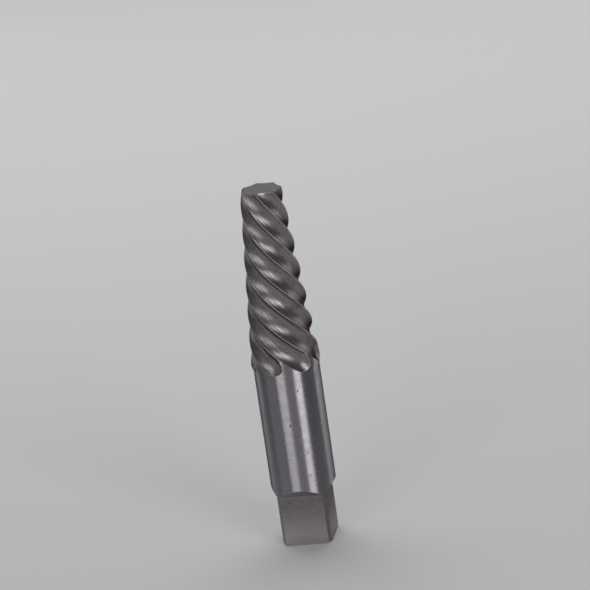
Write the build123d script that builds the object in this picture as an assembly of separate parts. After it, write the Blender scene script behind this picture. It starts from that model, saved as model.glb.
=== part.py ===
from build123d import *
import os
from math import atan2, ceil, cos, degrees, pi, radians, sin, tan

# A screw extractor turned and milled from one bar of tool steel.
# It stands on its square end: the axis is Z, and the fluted tip points up.

# Overall sizes, in millimetres
overall_length = 106.4
shank_diameter = 19.05

# Square drive end, with its four flats milled into the shank
square_across_flats = 14.29
square_length = 15.2
shoulder_slope = 45.0
drive_end_chamfer = 0.8

# Tapered blank of the fluted end, a little larger than the shank at its base
fluted_length = 51.8
tip_diameter = 11.85
cone_base_diameter = 20.1
neck_slope = 16.0
tip_chamfer = 0.3

# Left-hand spiral flutes
flute_count = 7
flute_lead = 55.1
flute_start_angle = 32.5
flute_depth_base = 1.45
flute_depth_tip = 1.05
land_width = 0.25
root_shift = 0.06

# Where each flute lifts out of the shank, on a path of longer lead
runout_z = 56.6
runout_lead = 80.0
runout_radius = 6.5
runout_swing = 60.0

# How far the cutting shapes are drawn past the metal, and in what steps
spare_length = 4.0
cutter_overrun = 1.2
arc_overrun = 6.0
turn_per_section = 18.0
runout_steps = 6

cone_base_z = overall_length - fluted_length
shank_radius = shank_diameter / 2
taper_per_mm = (cone_base_diameter - tip_diameter) / 2 / fluted_length


def cone_radius(z):
    return tip_diameter / 2 + (overall_length - z) * taper_per_mm


def flute_depth(z):
    share = (overall_length - z) / fluted_length
    return flute_depth_tip + (flute_depth_base - flute_depth_tip) * share


def flute_angle(z):
    return flute_start_angle + 360 * (overall_length - z) / flute_lead


def turned(*points):
    """A ring or bar made by turning an outline of radius and height points about the axis."""
    return revolve(make_face(Plane.XZ * Polyline(*points, close=True)), Axis.Z, 360)


def tapered_bar():
    """The cone that the flutes are cut in, longer than the tool at its tip."""
    top_z = overall_length + spare_length
    return turned((0, 0), (cone_radius(0), 0), (cone_radius(top_z), top_z), (0, top_z))


def shank_turning():
    """What turning the shank takes off the cone, up to the sloped neck under the flutes."""
    neck_run = (cone_base_diameter - shank_diameter) / 2 / tan(radians(neck_slope))
    clear_radius = cone_radius(0) + spare_length
    clear_run = (clear_radius - cone_base_diameter / 2) / tan(radians(neck_slope))
    return turned(
        (shank_radius - drive_end_chamfer - spare_length, -spare_length),
        (shank_radius, drive_end_chamfer),
        (shank_radius, cone_base_z - neck_run),
        (cone_base_diameter / 2, cone_base_z),
        (clear_radius, cone_base_z + clear_run),
        (clear_radius, -spare_length),
    )


def tip_facing():
    """What facing the tip to length takes off, with the small chamfer at its rim."""
    tip_radius = cone_radius(overall_length)
    top_z = overall_length + 2 * spare_length
    return turned(
        (0, overall_length),
        (tip_radius - tip_chamfer, overall_length),
        (tip_radius + spare_length, overall_length - tip_chamfer - spare_length),
        (tip_radius + spare_length, top_z),
        (0, top_z),
    )


def flat_milling():
    """What milling one flat of the square takes away, with its sloped shoulder."""
    flat_x = square_across_flats / 2
    far_x = shank_radius + spare_length
    shoulder_rise = (far_x - flat_x) / tan(radians(shoulder_slope))
    side = Polyline(
        (flat_x, -spare_length),
        (flat_x, square_length),
        (far_x, square_length + shoulder_rise),
        (far_x, -spare_length),
        close=True,
    )
    return extrude(make_face(Plane.XZ * side), amount=far_x, both=True)


def flute_section(z, angle, lift):
    """The form cutter's profile, square to the flute at one station of its path.

    Its steep side is a small arc and its easy side a large one, and both start
    at the root of the flute. The angle places it round the axis, and the lift
    raises it out of the metal.
    """
    radius = cone_radius(z)
    helix_angle = atan2(2 * pi * radius, flute_lead)
    pitch = 2 * pi * radius / flute_count * cos(helix_angle)
    half_width = (pitch - land_width) / 2
    surface_fall = (half_width * cos(helix_angle)) ** 2 / (2 * radius)
    rise = flute_depth(z) - surface_fall
    root_x = 2 * half_width * root_shift
    root_y = lift - flute_depth(z)
    steep_radius, steep_arc = arc_through(half_width - root_x, rise)
    easy_radius, easy_arc = arc_through(half_width + root_x, rise)
    steep_side = CenterArc((root_x, root_y + steep_radius), steep_radius, -90, steep_arc)
    easy_side = CenterArc((root_x, root_y + easy_radius), easy_radius, -90 - easy_arc, easy_arc)
    steep_end = steep_side @ 1
    easy_end = easy_side @ 0
    top_y = lift + cutter_overrun
    steep_top = steep_end.X + (top_y - steep_end.Y) / tan(radians(steep_arc))
    easy_top = easy_end.X - (top_y - easy_end.Y) / tan(radians(easy_arc))
    open_side = Polyline(steep_end, (steep_top, top_y), (easy_top, top_y), easy_end)
    turn = radians(angle)
    outward = Vector(cos(turn), sin(turn), 0)
    around = Vector(-sin(turn), cos(turn), 0)
    upward = Vector(0, 0, 1)
    across = around * cos(helix_angle) + upward * sin(helix_angle)
    along = around * sin(helix_angle) - upward * cos(helix_angle)
    station = Plane(outward * radius + upward * z, x_dir=across, z_dir=along)
    return station * make_face(easy_side + steep_side + open_side)


def arc_through(width, rise):
    """Radius and sweep of the arc that leaves the root level and climbs by rise over width."""
    radius = (width ** 2 + rise ** 2) / (2 * rise)
    return radius, degrees(atan2(width, radius - rise)) + arc_overrun


def full_depth_cutter():
    """One flute from past the tip down to where it begins to run out."""
    first_z = overall_length + spare_length / 2
    turns = 360 * (first_z - runout_z) / flute_lead
    steps = ceil(turns / turn_per_section)
    drop = (first_z - runout_z) / steps
    heights = [first_z - drop * step for step in range(steps + 1)]
    return loft([flute_section(z, flute_angle(z), 0) for z in heights])


def runout_cutter():
    """The round end of one flute, where the cutter swings up out of the metal."""
    path_angle = atan2(2 * pi * cone_radius(runout_z), runout_lead)
    sections = []
    for step in range(runout_steps + 1):
        swing = radians(runout_swing * step / runout_steps)
        drop = runout_radius * sin(swing) * cos(path_angle)
        angle = flute_angle(runout_z) + 360 * drop / runout_lead
        lift = runout_radius * (1 - cos(swing))
        sections.append(flute_section(runout_z - drop, angle, lift))
    return loft(sections)


def screw_extractor():
    tool = tapered_bar()
    flute = [full_depth_cutter(), runout_cutter()]
    for number in range(flute_count):
        turn = Rot(0, 0, 360 / flute_count * number)
        tool -= [turn * piece for piece in flute]
    tool -= shank_turning()
    tool -= tip_facing()
    flat = flat_milling()
    for side in range(4):
        tool -= Rot(0, 0, 90 * side) * flat
    return tool


extractor = screw_extractor()
os.makedirs("parts", exist_ok=True)
export_step(extractor, "parts/screw_extractor.step")
print("volume", round(extractor.volume, 1), "faces", len(extractor.faces()), "solids", len(extractor.solids()))
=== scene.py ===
import bpy
import math
from mathutils import Matrix, Vector


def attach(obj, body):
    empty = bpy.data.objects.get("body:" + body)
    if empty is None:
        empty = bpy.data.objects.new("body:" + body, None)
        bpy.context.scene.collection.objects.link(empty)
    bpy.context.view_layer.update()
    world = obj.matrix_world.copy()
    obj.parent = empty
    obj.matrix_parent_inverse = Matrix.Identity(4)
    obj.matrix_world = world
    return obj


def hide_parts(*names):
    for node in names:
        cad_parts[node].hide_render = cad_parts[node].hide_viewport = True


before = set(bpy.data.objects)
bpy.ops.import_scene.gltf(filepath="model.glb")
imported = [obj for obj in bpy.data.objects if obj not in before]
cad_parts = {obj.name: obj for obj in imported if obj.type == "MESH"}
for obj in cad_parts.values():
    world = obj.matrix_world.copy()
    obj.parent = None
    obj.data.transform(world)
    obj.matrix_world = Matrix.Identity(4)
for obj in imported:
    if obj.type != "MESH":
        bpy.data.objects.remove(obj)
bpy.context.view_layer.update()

# The tool's body: one bar of hardened tool steel, turned to a plain shank and
# a slow cone, then milled square at one end and fluted at the other. Its shape
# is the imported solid's, in one mesh, with each face sorted by its finish.
SHANK_RADIUS = 0.009525
NECK_HEIGHT = 0.0527
NECK_TAPER = 0.2867
CONE_BASE_HEIGHT = 0.0546
CONE_BASE_RADIUS = 0.01005
CONE_TAPER = 0.07963
TIP_HEIGHT = 0.1064
FACED_DEPTH = 0.0004
POLISHED_HEIGHT = 0.0575
ABOVE_SHOULDERS = 0.0195
LEVEL_FACE = 0.98
GRINDING_TOLERANCE = 0.00004
MERGE_DISTANCE = 0.000001
FINISHES = ["ground_shank", "worn_crests", "milled_square", "milled_flutes", "faced_tip"]


def ground_radius(height):
    """Radius of the ground surface at one height: shank, neck, or the crests of the cone."""
    if height > CONE_BASE_HEIGHT:
        return CONE_BASE_RADIUS - (height - CONE_BASE_HEIGHT) * CONE_TAPER
    return max(SHANK_RADIUS, CONE_BASE_RADIUS - (CONE_BASE_HEIGHT - height) * NECK_TAPER)


def finish_of_face(face, verts):
    """Which finish a face has, by its place and the way it faces."""
    middle = face.center
    if face.normal.z > LEVEL_FACE and middle.z > TIP_HEIGHT - FACED_DEPTH:
        return "faced_tip"
    if face.normal.z < -LEVEL_FACE:
        return "milled_square"
    corners = [verts[index].co for index in face.vertices]
    cut_away = max(ground_radius(co.z) - math.hypot(co.x, co.y) for co in corners)
    if cut_away < GRINDING_TOLERANCE:
        return "worn_crests" if middle.z > POLISHED_HEIGHT else "ground_shank"
    if middle.z < ABOVE_SHOULDERS:
        return "milled_square"
    return "milled_flutes"


for leftover in ("Cube", "Light", "Camera"):
    if leftover in bpy.data.objects:
        bpy.data.objects.remove(bpy.data.objects[leftover])

# Double points are merged in the copied mesh, which keeps the way that the
# solid faces at each corner.
cad_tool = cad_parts["screw_extractor"]
tool_mesh = cad_tool.data.copy()
tool_mesh.name = "extractor_body"
solid_facing = tool_mesh.attributes.new("solid_facing", "FLOAT_VECTOR", "CORNER")
for number, corner in enumerate(cad_tool.data.corner_normals):
    solid_facing.data[number].vector = corner.vector
tool = bpy.data.objects.new("extractor_body", tool_mesh)
bpy.context.collection.objects.link(tool)
bpy.ops.object.select_all(action="DESELECT")
tool.select_set(True)
bpy.context.view_layer.objects.active = tool
bpy.ops.object.mode_set(mode="EDIT")
bpy.ops.mesh.select_all(action="SELECT")
bpy.ops.mesh.remove_doubles(threshold=MERGE_DISTANCE)
bpy.ops.object.mode_set(mode="OBJECT")

tool_mesh.materials.clear()
for finish in FINISHES:
    tool_mesh.materials.append(bpy.data.materials.new(finish))
for face in tool_mesh.polygons:
    face.material_index = FINISHES.index(finish_of_face(face, tool_mesh.vertices))

# The low neck, and the lands where the flutes run out, are polished into the
# shank, so they are shaded as straight as it is.
solid_facing = tool_mesh.attributes["solid_facing"]
facing = [corner.vector.copy() for corner in solid_facing.data]
tool_mesh.attributes.remove(solid_facing)
for face in tool_mesh.polygons:
    on_shank = FINISHES[face.material_index] == "ground_shank"
    if on_shank and NECK_HEIGHT < face.center.z < POLISHED_HEIGHT:
        for corner in face.loop_indices:
            co = tool_mesh.vertices[tool_mesh.loops[corner].vertex_index].co
            facing[corner] = Vector((co.x, co.y, 0)).normalized()
tool_mesh.normals_split_custom_set(facing)

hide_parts("screw_extractor")
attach(tool, "root")


# The marks in the steel: rings left by turning and grinding, streaks that the
# form cutter left along the flutes, smudges and grain from hardening and from
# handling, and small pits. Each is a node group, placed in the finishes.
def add(tree, kind, inputs=None, **settings):
    """A new node with its settings, and its inputs given as values or as sockets to link."""
    node = tree.nodes.new(kind)
    for label, value in settings.items():
        setattr(node, label, value)
    for label, value in (inputs or {}).items():
        if isinstance(value, bpy.types.NodeSocket):
            tree.links.new(value, node.inputs[label])
        else:
            node.inputs[label].default_value = value
    return node


def object_place(tree):
    """The place on the piece, in metres."""
    return add(tree, "ShaderNodeTexCoord").outputs["Object"]


def new_group(name, inputs, outputs):
    """An empty node group, with its inputs, what it gives out, and the place on the piece."""
    group = bpy.data.node_groups.new(name, "ShaderNodeTree")
    for label, value in inputs.items():
        socket = group.interface.new_socket(label, in_out="INPUT", socket_type="NodeSocketFloat")
        socket.default_value = value
    for label in outputs:
        group.interface.new_socket(label, in_out="OUTPUT", socket_type="NodeSocketFloat")
    given = add(group, "NodeGroupInput").outputs
    result = add(group, "NodeGroupOutput").inputs
    return group, given, result, object_place(group)


def maths(tree, operation, first, second=0.0, third=0.0):
    """The result of one Math node on numbers or sockets."""
    node = add(tree, "ShaderNodeMath", {0: first, 1: second, 2: third}, operation=operation)
    return node.outputs[0]


def vector_maths(tree, operation, first, second=(0, 0, 0)):
    """The outputs of one Vector Math node on vectors or sockets."""
    return add(tree, "ShaderNodeVectorMath", {0: first, 1: second}, operation=operation).outputs


def stretched(tree, place, x, y, z):
    """A place with each of its axes scaled."""
    return vector_maths(tree, "MULTIPLY", place, (x, y, z))["Vector"]


def noise_at(tree, place, scale, detail, roughness):
    """A noise value at a place, one feature to each unit divided by scale."""
    inputs = {"Vector": place, "Scale": scale, "Detail": detail, "Roughness": roughness}
    return add(tree, "ShaderNodeTexNoise", inputs).outputs["Fac"]


def between(tree, value, low, high, out_low=0.0, out_high=1.0):
    """A value spread from one range to another, smooth at both ends and held there."""
    inputs = {"Value": value, "From Min": low, "From Max": high, "To Min": out_low, "To Max": out_high}
    node = add(tree, "ShaderNodeMapRange", inputs, interpolation_type="SMOOTHSTEP")
    return node.outputs["Result"]


# Rings run round the bar: they lie close along it and change slowly round it.
FINE_RINGS = (90, 90, 9000)
BROAD_RINGS = (40, 40, 900)
ring_marks, given, result, place = new_group("ring_marks", {"Depth": 1.0}, ["Height", "Streak"])
fine_place = stretched(ring_marks, place, *FINE_RINGS)
fine_rings = noise_at(ring_marks, fine_place, scale=1.0, detail=3.0, roughness=0.6)
ring_marks.links.new(maths(ring_marks, "MULTIPLY", fine_rings, given["Depth"]), result["Height"])
broad_place = stretched(ring_marks, place, *BROAD_RINGS)
broad_rings = noise_at(ring_marks, broad_place, scale=1.0, detail=2.0, roughness=0.5)
ring_marks.links.new(broad_rings, result["Streak"])

# Cutter streaks run along the flutes. The noise is read at an angle with the
# turn of the left-hand spiral taken out, and changes slowly with the height.
FLUTE_LEAD = 0.0551
HEIGHT_SHARE = 6.0
cutter_marks, given, result, place = new_group("cutter_marks", {"Depth": 1.0}, ["Height", "Streak"])
split = add(cutter_marks, "ShaderNodeSeparateXYZ", {"Vector": place}).outputs
turn = maths(cutter_marks, "ARCTAN2", split["Y"], split["X"])
unwound = maths(cutter_marks, "MULTIPLY_ADD", split["Z"], 2 * math.pi / FLUTE_LEAD, turn)
along_flute = add(cutter_marks, "ShaderNodeCombineXYZ", {
    "X": maths(cutter_marks, "COSINE", unwound),
    "Y": maths(cutter_marks, "SINE", unwound),
    "Z": maths(cutter_marks, "MULTIPLY", split["Z"], HEIGHT_SHARE),
}).outputs["Vector"]
fine_streaks = noise_at(cutter_marks, along_flute, scale=16.0, detail=1.5, roughness=0.55)
cutter_marks.links.new(maths(cutter_marks, "MULTIPLY", fine_streaks, given["Depth"]), result["Height"])
broad_streaks = noise_at(cutter_marks, along_flute, scale=15.0, detail=2.5, roughness=0.6)
cutter_marks.links.new(broad_streaks, result["Streak"])

# Smudges are soft patches a few millimetres across, and the grain is far finer.
SMUDGE_RANGE = (0.48, 0.72)
smudges, given, result, place = new_group("smudges", {"Size": 300.0}, ["Mask", "Grain"])
cloud = noise_at(smudges, place, given["Size"], detail=4.0, roughness=0.6)
smudges.links.new(between(smudges, cloud, *SMUDGE_RANGE), result["Mask"])
smudges.links.new(noise_at(smudges, place, 1900.0, detail=3.0, roughness=0.75), result["Grain"])

# Specks lie all over. The larger pits, five on the shank and two on a flat,
# lie where the real tool shows them: x, y, z and half a width, in metres.
SPECK_RANGE = (0.68, 0.80)
PIT_SQUEEZE = 0.4
PIT_CORE = 0.4
PITS = [
    (0.00390, -0.00869, 0.0480, 0.00030),
    (0.00053, -0.00951, 0.0379, 0.00034),
    (0.00329, -0.00894, 0.0365, 0.00020),
    (0.00421, -0.00855, 0.0289, 0.00024),
    (0.00406, -0.00862, 0.0221, 0.00022),
    (-0.00369, -0.00715, 0.0135, 0.00020),
    (-0.00523, -0.00715, 0.0087, 0.00016),
]
pits, given, result, place = new_group("pits", {"Size": 2000.0}, ["Mask"])
speck_noise = noise_at(pits, place, given["Size"], detail=2.0, roughness=0.5)
pitted = between(pits, speck_noise, *SPECK_RANGE)
squeezed = stretched(pits, place, 1, 1, PIT_SQUEEZE)
for x, y, z, half_width in PITS:
    away = vector_maths(pits, "DISTANCE", squeezed, (x, y, z * PIT_SQUEEZE))["Value"]
    pit = between(pits, away, half_width * PIT_CORE, half_width, out_low=1.0, out_high=0.0)
    pitted = maths(pits, "MAXIMUM", pitted, pit)
pits.links.new(pitted, result["Mask"])


# The ground shank: the round of the bar, finished by a grinding wheel, and the
# brightest of its surfaces. The low neck under the flutes belongs to it.
PIT_BROWN = (0.10, 0.085, 0.08, 1)
NOISE_MIDDLE = 0.5
CLEAN_TONE = 0.3
SMUDGE_TONE = 0.5
SMUDGE_ROUGHNESS = 0.3
ROUGHNESS_RANGE = (0.25, 0.95)


def mixed(tree, share, below, above):
    """One colour mixed over another by a share that changes over the surface."""
    node = add(tree, "ShaderNodeMix", {"Factor": share, "A": below, "B": above}, data_type="RGBA")
    return node.outputs["Result"]


def steel(name, marks, greys, rim_grey, depth, roughness, relief, grain_relief, streaks, grain):
    """One steel finish, with its marks, smudges, grain and pits.

    The colour goes from the first grey to the second as streaks, smudges and
    grain grow, and the roughness as streaks and smudges grow. The relief is
    the height in metres of marks of full depth, and the grain's is a share of
    it. The rim's grey tints the steel where it is seen at a low angle.
    """
    material = bpy.data.materials[name]
    material.use_nodes = True
    tree = material.node_tree
    tree.nodes.clear()
    shader = add(tree, "ShaderNodeBsdfPrincipled", {"Metallic": 1.0, "Specular Tint": rim_grey})
    add(tree, "ShaderNodeOutputMaterial", {"Surface": shader.outputs["BSDF"]})
    marked = add(tree, "ShaderNodeGroup", node_tree=marks)
    marked.inputs["Depth"].default_value = depth
    handled = add(tree, "ShaderNodeGroup", node_tree=smudges).outputs
    pitted = add(tree, "ShaderNodeGroup", node_tree=pits).outputs

    streak_level = maths(tree, "SUBTRACT", marked.outputs["Streak"], NOISE_MIDDLE)
    grain_level = maths(tree, "SUBTRACT", handled["Grain"], NOISE_MIDDLE)
    soiled = maths(tree, "MULTIPLY_ADD", handled["Mask"], SMUDGE_TONE, CLEAN_TONE)
    streaked = maths(tree, "MULTIPLY_ADD", streak_level, streaks, soiled)
    tone = maths(tree, "MULTIPLY_ADD", grain_level, grain, streaked)
    colour = mixed(tree, tone, greys[0], greys[1])
    tree.links.new(mixed(tree, pitted["Mask"], colour, PIT_BROWN), shader.inputs["Base Color"])

    smudged = maths(tree, "MULTIPLY", handled["Mask"], SMUDGE_ROUGHNESS)
    uneven = maths(tree, "ADD", marked.outputs["Streak"], smudged)
    tree.links.new(between(tree, uneven, *ROUGHNESS_RANGE, *roughness), shader.inputs["Roughness"])

    height = maths(tree, "MULTIPLY_ADD", handled["Grain"], grain_relief, marked.outputs["Height"])
    raised = add(tree, "ShaderNodeBump", {"Height": height, "Strength": 1.0, "Distance": relief})
    tree.links.new(raised.outputs["Normal"], shader.inputs["Normal"])
    return tree, shader


GROUND_GREYS = [(0.312, 0.297, 0.318, 1), (0.270, 0.255, 0.272, 1)]
GROUND_RIM = (0.22, 0.22, 0.24, 1)
tree, shader = steel(
    "ground_shank", ring_marks, GROUND_GREYS, GROUND_RIM, depth=0.45,
    roughness=(0.26, 0.31), relief=0.000003, grain_relief=1.2, streaks=0.6, grain=4.0,
)

# The shank's bright strips are drawn out along it. Its marks lean a little
# upwards, so that it shows the soft boxes beside the camera and not the floor.
UPWARD_LEAN = (0, 0, 0.27)
shader.inputs["Anisotropic"].default_value = 0.7
lengthwise = add(tree, "ShaderNodeCombineXYZ", {"X": 0.0, "Y": 0.0, "Z": 1.0})
tree.links.new(lengthwise.outputs["Vector"], shader.inputs["Tangent"])
surface_normal = add(tree, "ShaderNodeNewGeometry").outputs["Normal"]
lean = vector_maths(tree, "ADD", surface_normal, UPWARD_LEAN)["Vector"]
leaning = vector_maths(tree, "NORMALIZE", lean)["Vector"]
raised_marks = shader.inputs["Normal"].links[0].from_node
tree.links.new(leaning, raised_marks.inputs["Normal"])

# The worn crests: the narrow lands left of the turned cone between the flutes.
# They are bare steel, rubbed light where the tool has touched other things.
CREST_GREYS = [(0.46, 0.435, 0.43, 1), (0.30, 0.28, 0.27, 1)]
PLAIN_RIM = (0.30, 0.30, 0.33, 1)
steel(
    "worn_crests", ring_marks, CREST_GREYS, PLAIN_RIM, depth=1.0,
    roughness=(0.40, 0.50), relief=0.00001, grain_relief=0.4, streaks=0.6, grain=2.0,
)


# The milled square: four flats with sloped shoulders, cut into the end of the
# bar for a wrench. They are matt, with painted light from the floor making them
# lighter towards the end of the bar, and painted shade darkening the shoulders.
def tinted(tree, shader, share, colour):
    """Mixes one more colour into a finish, by a share that changes over the surface."""
    base_colour = shader.inputs["Base Color"]
    tree.links.new(mixed(tree, share, base_colour.links[0].from_socket, colour), base_colour)


SQUARE_GREYS = [(0.270, 0.244, 0.252, 1), (0.198, 0.177, 0.182, 1)]
PAINTED_LIGHT_GREY = (0.51, 0.465, 0.485, 1)
PAINTED_LIGHT_HEIGHTS = (0.001, 0.013)
PAINTED_SHADE_GREY = (0.10, 0.092, 0.092, 1)
PAINTED_SHADE_HEIGHTS = (0.0150, 0.0156)
tree, shader = steel(
    "milled_square", ring_marks, SQUARE_GREYS, PLAIN_RIM, depth=1.0,
    roughness=(0.42, 0.55), relief=0.00001, grain_relief=0.6, streaks=0.6, grain=4.0,
)
height = add(tree, "ShaderNodeSeparateXYZ", {"Vector": object_place(tree)}).outputs["Z"]
# Painted light: the flats are mixed lighter towards the bottom end, as if lit by the floor.
painted_floor_light = between(tree, height, *PAINTED_LIGHT_HEIGHTS, out_low=0.85, out_high=0.0)
tinted(tree, shader, painted_floor_light, PAINTED_LIGHT_GREY)
# Painted shade: the sloped shoulders are mixed darker, where shade falls under them.
painted_shoulder_shade = between(tree, height, *PAINTED_SHADE_HEIGHTS, out_low=0.0, out_high=0.5)
tinted(tree, shader, painted_shoulder_shade, PAINTED_SHADE_GREY)

# The milled flutes: seven spiral grooves, cut with a form cutter and left a
# brownish grey by hardening. Their shallow edges are lighter, partly from wear
# and partly as a painted highlight, and their rim at the tip has a painted highlight.
FLUTE_GREYS = [(0.300, 0.273, 0.274, 1), (0.163, 0.142, 0.140, 1)]
FLUTE_RIM = (0.03, 0.03, 0.05, 1)
WEAR_AND_HIGHLIGHT_GREY = (0.58, 0.55, 0.54, 1)
WEAR_AND_HIGHLIGHT_DEPTHS = (0.00003, 0.00022)
PAINTED_HIGHLIGHT_HEIGHTS = (TIP_HEIGHT - 0.0006, TIP_HEIGHT - 0.0001)
tree, shader = steel(
    "milled_flutes", cutter_marks, FLUTE_GREYS, FLUTE_RIM, depth=1.0,
    roughness=(0.26, 0.36), relief=0.00006, grain_relief=0.15, streaks=1.8, grain=1.6,
)
place = object_place(tree)
height = add(tree, "ShaderNodeSeparateXYZ", {"Vector": place}).outputs["Z"]
radius = vector_maths(tree, "LENGTH", stretched(tree, place, 1, 1, 0))["Value"]
below_base = maths(tree, "SUBTRACT", CONE_BASE_HEIGHT, height)
cone = maths(tree, "MULTIPLY_ADD", below_base, CONE_TAPER, CONE_BASE_RADIUS)
neck = maths(tree, "MULTIPLY_ADD", below_base, -NECK_TAPER, CONE_BASE_RADIUS)
ground = maths(tree, "MINIMUM", cone, maths(tree, "MAXIMUM", neck, SHANK_RADIUS))
cut_depth = maths(tree, "SUBTRACT", ground, radius)
# Partly wear and partly a painted highlight: the shallow edges of the flutes are mixed lighter.
wear_and_highlight_edge = between(tree, cut_depth, *WEAR_AND_HIGHLIGHT_DEPTHS, out_low=0.6, out_high=0.0)
tinted(tree, shader, wear_and_highlight_edge, WEAR_AND_HIGHLIGHT_GREY)
# Painted highlight: the rim at the tip is mixed lighter, where its chamfer catches the light.
painted_highlight_rim = between(tree, height, *PAINTED_HIGHLIGHT_HEIGHTS, out_low=0.0, out_high=0.55)
tinted(tree, shader, painted_highlight_rim, WEAR_AND_HIGHLIGHT_GREY)

# The faced tip: the flat end of the cone, turned to length and left with a
# plain matt face.
FACED_GREYS = [(0.275, 0.26, 0.265, 1), (0.205, 0.192, 0.195, 1)]
steel(
    "faced_tip", ring_marks, FACED_GREYS, PLAIN_RIM, depth=1.0,
    roughness=(0.44, 0.54), relief=0.00001, grain_relief=0.5, streaks=0.6, grain=3.0,
)

# The studio floor: one wide sheet of plain pale card under the tool, with no
# shine. It isn't part of the object.
bpy.ops.mesh.primitive_circle_add(vertices=96, radius=6.0, fill_type="NGON", location=(0, 0, 0))
floor = bpy.context.object
floor.name = "floor"
pale_card = bpy.data.materials.new("pale_card")
pale_card.use_nodes = True
card_inputs = pale_card.node_tree.nodes["Principled BSDF"].inputs
card_inputs["Base Color"].default_value = (0.8, 0.8, 0.8, 1)
card_inputs["Roughness"].default_value = 0.9
card_inputs["Specular IOR Level"].default_value = 0.0
floor.data.materials.append(pale_card)

# Studio light: two soft boxes beside the camera, which give the shank its two
# bright strips, weaker ones at the left, in front and low behind the tool for
# its edges, one for the floor behind it, and a dim grey room.
CAMERA_AZIMUTH = -78.8


def soft_box(name, side, distance, height, width, tall, radiance, aim_height):
    """A rectangular lamp, as bright as radiance says, aimed at a height on the tool's axis.

    The side is its angle round the tool from the camera, in degrees.
    """
    lamp = bpy.data.lights.new(name, "AREA")
    lamp.shape = "RECTANGLE"
    lamp.size = width
    lamp.size_y = tall
    lamp.energy = radiance * math.pi * width * tall
    turn = math.radians(CAMERA_AZIMUTH + side)
    spot = Vector((math.cos(turn) * distance, math.sin(turn) * distance, height))
    box = bpy.data.objects.new(name, lamp)
    box.location = spot
    box.rotation_euler = (Vector((0, 0, aim_height)) - spot).to_track_quat("-Z", "Y").to_euler()
    box.visible_camera = False
    bpy.context.collection.objects.link(box)


soft_box("left_box", side=-27.5, distance=0.70, height=0.36,
         width=0.355, tall=0.54, radiance=1.6, aim_height=0.36)
soft_box("right_box", side=31.5, distance=0.70, height=0.36,
         width=0.29, tall=0.54, radiance=2.6, aim_height=0.36)
soft_box("left_card", side=-66.0, distance=0.80, height=0.20,
         width=0.50, tall=0.40, radiance=0.20, aim_height=0.20)
soft_box("left_back_card", side=-138.0, distance=0.80, height=0.14,
         width=0.75, tall=0.28, radiance=0.84, aim_height=0.14)
soft_box("right_back_card", side=126.0, distance=0.80, height=0.14,
         width=0.75, tall=0.28, radiance=0.96, aim_height=0.14)
soft_box("front_box", side=2.0, distance=1.60, height=0.40,
         width=0.70, tall=0.80, radiance=0.25, aim_height=0.40)

# The last one hangs behind the tool and is turned down to the floor.
soft_box("back_box", side=180.0, distance=0.55, height=0.75,
         width=0.90, tall=0.80, radiance=1.7, aim_height=-2.0)

grey_room = bpy.data.worlds.new("grey_room")
bpy.context.scene.world = grey_room
grey_room.use_nodes = True
room_inputs = grey_room.node_tree.nodes["Background"].inputs
room_inputs["Color"].default_value = (0.95, 0.97, 1.0, 1)
room_inputs["Strength"].default_value = 0.14

# The camera: a long lens a metre away, a little above the tool and rolled, so
# that the tool leans in the picture as it does in the photograph. The point
# that it aims at, on the tool's axis, falls on the aim pixel.
CAMERA_HEIGHT_ANGLE = 18.1
CAMERA_ROLL = 8.27
CAMERA_DISTANCE = 1.0
IMAGE_PIXELS = 590
PIXELS_PER_METRE = 3485.0
AIM_POINT = Vector((0, 0, 0.0524))
AIM_PIXEL = (286.74, 367.15)
SENSOR_WIDTH = 36
turn, lift, roll = (math.radians(angle) for angle in (CAMERA_AZIMUTH, CAMERA_HEIGHT_ANGLE, CAMERA_ROLL))
back = Vector((math.cos(turn) * math.cos(lift), math.sin(turn) * math.cos(lift), math.sin(lift)))
level = Vector((-math.sin(turn), math.cos(turn), 0))
upright = back.cross(level)
across = level * math.cos(roll) - upright * math.sin(roll)
above = upright * math.cos(roll) + level * math.sin(roll)
right_shift, down_shift = ((IMAGE_PIXELS / 2 - pixel) / PIXELS_PER_METRE for pixel in AIM_PIXEL)
spot = AIM_POINT + back * CAMERA_DISTANCE + (across * right_shift - above * down_shift)

lens = bpy.data.cameras.new("studio_camera")
lens.sensor_fit = "HORIZONTAL"
lens.sensor_width = SENSOR_WIDTH
lens.lens = SENSOR_WIDTH * CAMERA_DISTANCE * PIXELS_PER_METRE / IMAGE_PIXELS
lens.clip_start = 0.05
lens.clip_end = 50
camera = bpy.data.objects.new("studio_camera", lens)
camera.matrix_world = Matrix((
    (across.x, above.x, back.x, spot.x),
    (across.y, above.y, back.y, spot.y),
    (across.z, above.z, back.z, spot.z),
    (0, 0, 0, 1),
))
bpy.context.collection.objects.link(camera)
bpy.context.scene.camera = camera
bpy.context.scene.view_settings.view_transform = "Standard"
